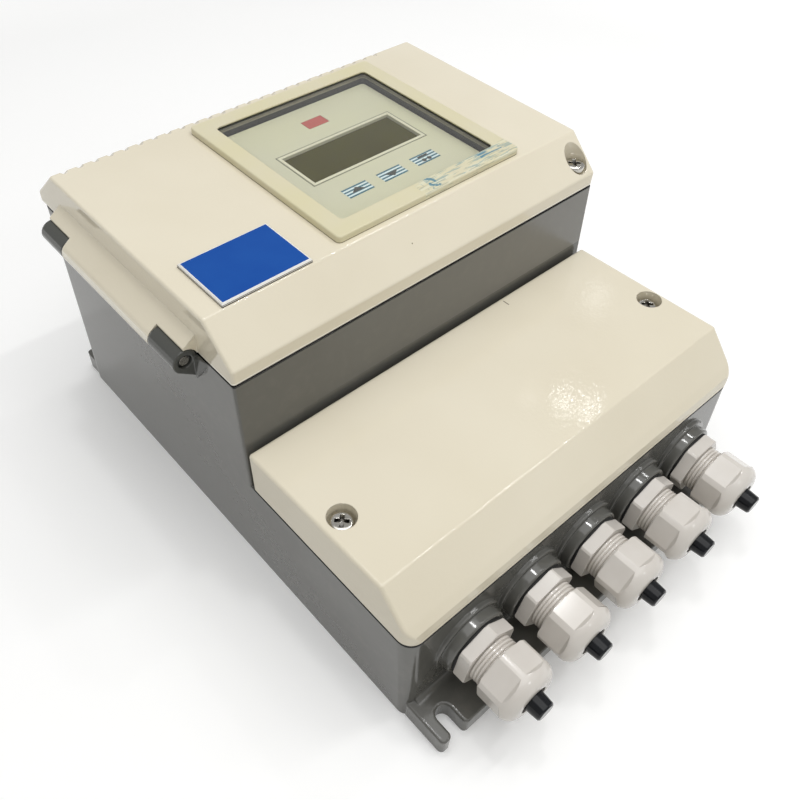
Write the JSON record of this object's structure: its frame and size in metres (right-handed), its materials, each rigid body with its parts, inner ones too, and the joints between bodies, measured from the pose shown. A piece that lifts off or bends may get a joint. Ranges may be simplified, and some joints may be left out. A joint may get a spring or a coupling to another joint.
{
  "type": "thermal mass flow meter evaluation unit",
  "caption": "Wall-mounted field housing of a thermal mass flow meter: hinged display lid with a square window, lower wiring cover and a row of plugged cable glands.",
  "frame": {"origin": "centre of the back face of the housing, in the plane that lies against the wall", "axes": "+X to the right of the display, +Y up the display away from the cable glands, +Z out of the wall through the display"},
  "size_m": [0.2085, 0.3007, 0.1306],
  "materials": {
    "housing_enamel": "gloss enamel on cast aluminium",
    "cover_paint": "gloss cream paint with a slight orange peel",
    "bezel_plastic": "satin",
    "pane_glass": "clear",
    "black_plastic": "matt",
    "seal_rubber": "matt",
    "steel": "bright",
    "brass": "bright",
    "tag_laminate": "engraved laminate",
    "plate_plastic": "satin",
    "lcd_glass": "smooth",
    "led_plastic": "smooth",
    "board_laminate": "solder-resist green",
    "sheet_metal": "zinc plated",
    "core_iron": "laminated",
    "terminal_plastic": "moulded",
    "gland_plastic": "moulded polyamide",
    "plug_plastic": "smooth"
  },
  "bodies": {
    "base": {"housing": "housing_enamel", "terminal_cover": "cover_paint", "terminal_gasket": "seal_rubber", "gland_seals": "seal_rubber", "gland_washers": "seal_rubber", "hinge_pin_front": "steel", "hinge_pin_rear": "steel", "cover_screw_left": "steel", "cover_screw_right": "steel", "chassis_screws": "steel", "terminal_board_screws": "steel", "earth_screw": "brass", "board_spacers": "brass", "display_plate": "plate_plastic", "front_foil": "plate_plastic", "lcd_module": "lcd_glass", "status_led": "led_plastic", "display_carrier": "black_plastic", "display_board": "board_laminate", "main_board": "board_laminate", "power_board": "board_laminate", "terminal_board": "board_laminate", "chassis": "sheet_metal", "transformer": "core_iron", "feed_connector": "black_plastic", "terminal_block_left": "terminal_plastic", "terminal_block_middle": "terminal_plastic", "terminal_block_right": "terminal_plastic", "gland_lock_nuts": "gland_plastic", "gland_body_1": "gland_plastic", "gland_nut_1": "gland_plastic", "gland_plug_1": "plug_plastic", "gland_body_2": "gland_plastic", "gland_nut_2": "gland_plastic", "gland_plug_2": "plug_plastic", "gland_body_3": "gland_plastic", "gland_nut_3": "gland_plastic", "gland_plug_3": "plug_plastic", "gland_body_4": "gland_plastic", "gland_nut_4": "gland_plastic", "gland_plug_4": "plug_plastic", "gland_body_5": "gland_plastic", "gland_nut_5": "gland_plastic", "gland_plug_5": "plug_plastic"},
    "lid": {"lid": "cover_paint", "lid_gasket": "seal_rubber", "lid_screw_front": "steel", "lid_screw_rear": "steel", "window_bezel": "bezel_plastic", "window_pane": "pane_glass", "window_liner": "black_plastic", "liner_screws": "steel", "tag_plate": "tag_laminate"}
  },
  "joints": [
    {"name": "lid_hinge", "type": "hinge", "parent": "base", "child": "lid", "pos_m": [-0.1045, 0.0477, 0.106], "axis": [0, -1, 0], "range_deg": [0, 120]}
  ]
}
